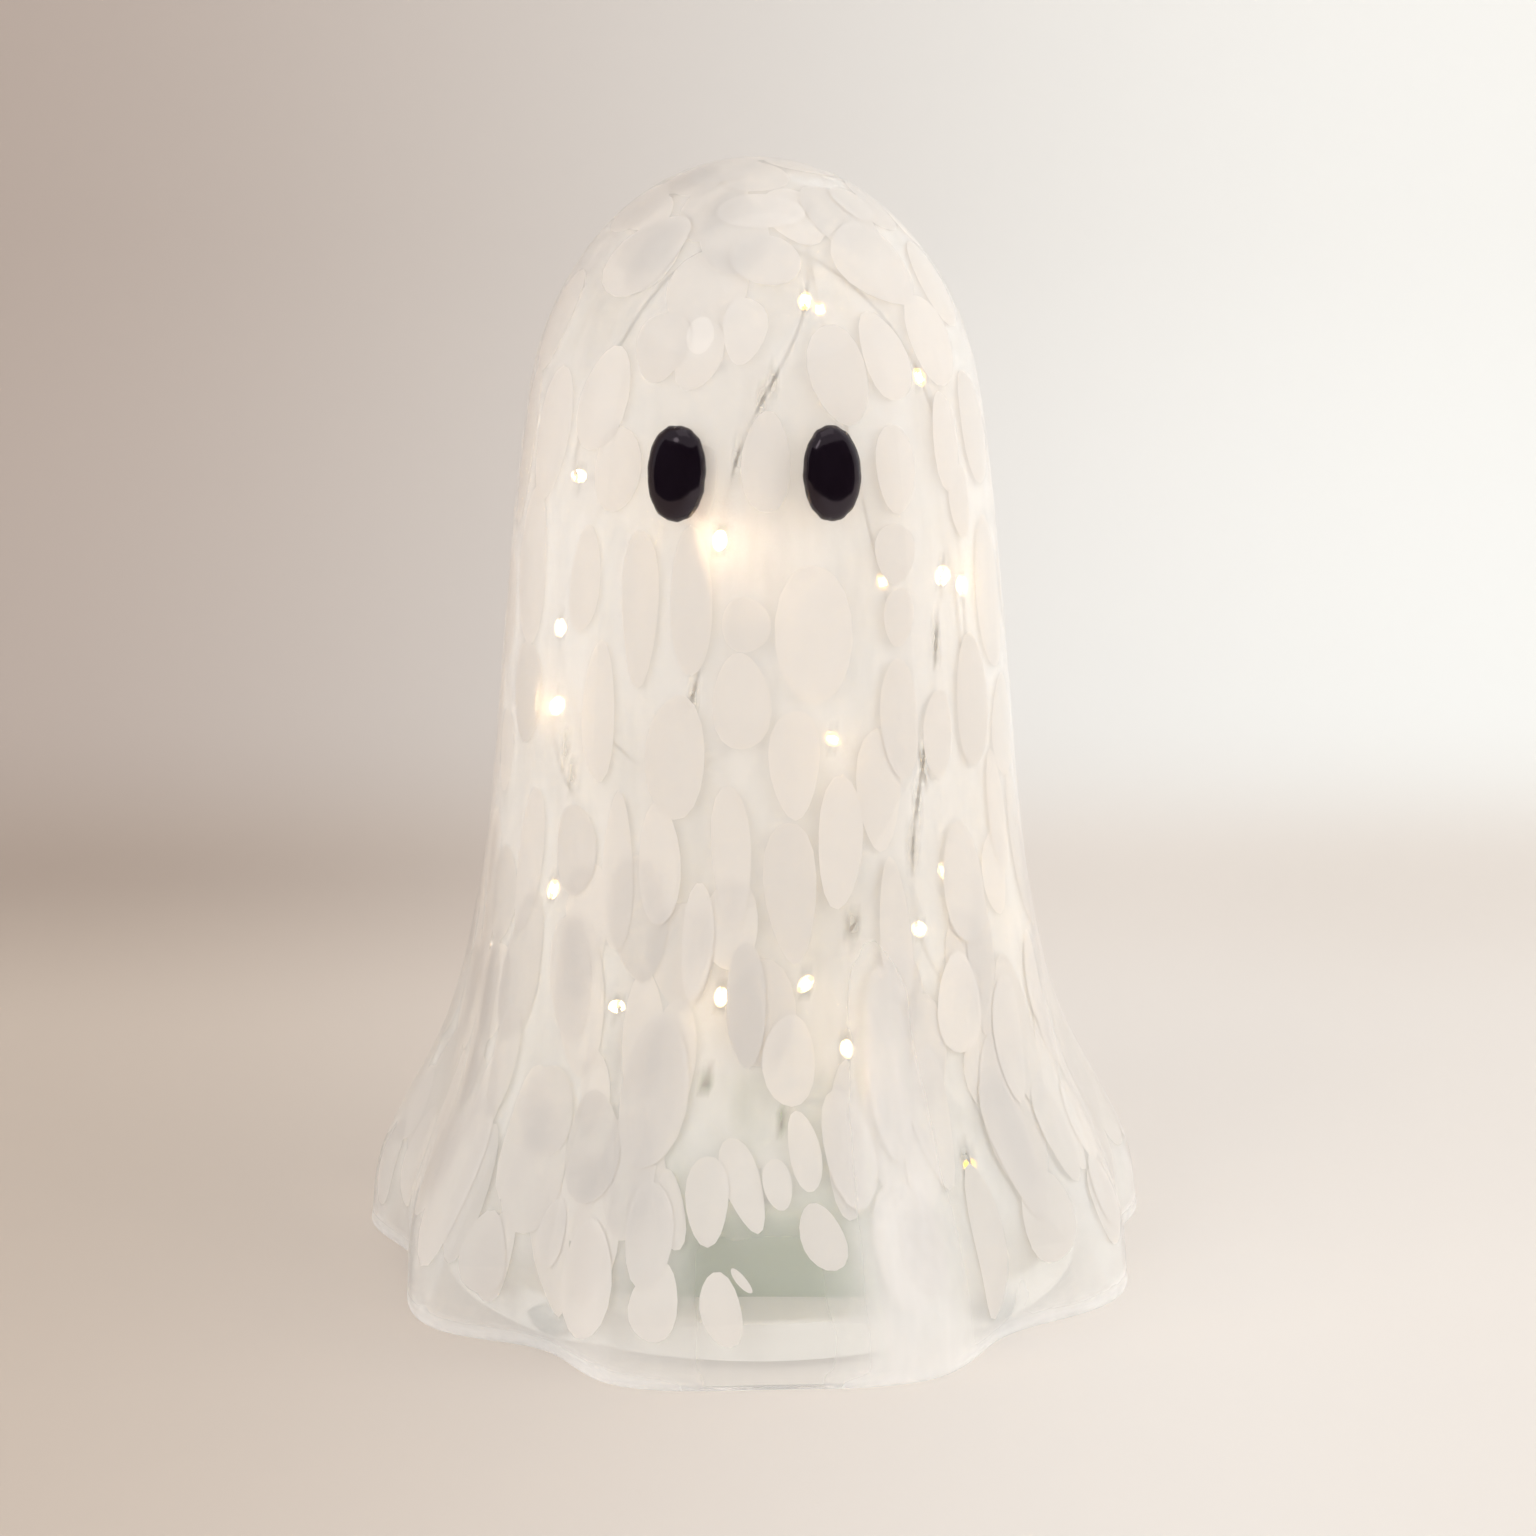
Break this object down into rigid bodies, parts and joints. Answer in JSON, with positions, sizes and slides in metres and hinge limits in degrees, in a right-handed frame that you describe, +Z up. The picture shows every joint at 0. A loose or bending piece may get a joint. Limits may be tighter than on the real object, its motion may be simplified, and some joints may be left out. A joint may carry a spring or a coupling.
{
  "type": "lighted glass ghost",
  "caption": "Blown-glass ghost lamp with a domed head, ruffled hem and oval eyes, lit from inside by a battery light string over a base tray with a hinged door.",
  "frame": {"origin": "on the table, under the middle of the hem", "axes": "+Z up through the crown of the head, the face towards -Y, the ghost's left as seen from the front towards -X"},
  "size_m": [0.1691, 0.1647, 0.24],
  "materials": {
    "cased_glass": "clear casing over white glass chips",
    "black_glass": "opaque black, fire-polished",
    "tray_plastic": "fine moulded grain",
    "silicone": "cloudy silicone",
    "case_plastic": "grey-green, glossy",
    "plated_steel": "nickel plated",
    "cell_jacket": "plain printed jacket",
    "red_insulation": "smooth insulation",
    "black_insulation": "smooth insulation",
    "board_laminate": "lacquered laminate",
    "black_resin": "matt moulded",
    "capacitor_sleeve": "shrink sleeve",
    "grommet_rubber": "soft moulded rubber",
    "wire_insulation": "thin silver-grey insulation",
    "clear_resin": "clear drop over a lit chip"
  },
  "bodies": {
    "root": {"glass_shell": "cased_glass", "left_eye": "black_glass", "right_eye": "black_glass", "tray": "tray_plastic", "glue_dabs": "silicone", "battery_case": "case_plastic", "cell_1": "cell_jacket", "cell_2": "cell_jacket", "cell_3": "cell_jacket", "contact_plates": "plated_steel", "contact_springs": "plated_steel", "red_lead": "red_insulation", "black_lead": "black_insulation", "timer_board": "board_laminate", "timer_chip": "black_resin", "timing_crystal": "plated_steel", "smoothing_capacitor": "capacitor_sleeve", "switch_body": "plated_steel", "wire_grommet": "grommet_rubber", "string_wire": "wire_insulation", "led_drops": "clear_resin", "case_screws": "plated_steel", "board_screws": "plated_steel"},
    "battery_door": {"battery_door": "tray_plastic", "door_screw": "plated_steel"},
    "switch_knob": {"switch_knob": "black_resin"}
  },
  "joints": [
    {"name": "door_hinge", "type": "hinge", "parent": "root", "child": "battery_door", "pos_m": [0, 0.0397, 0.0035], "axis": [1, 0, 0], "range_deg": [0, 100]},
    {"name": "switch_slide", "type": "slide", "parent": "root", "child": "switch_knob", "axis": [1, 0, 0], "range_m": [0, 0.004]}
  ]
}
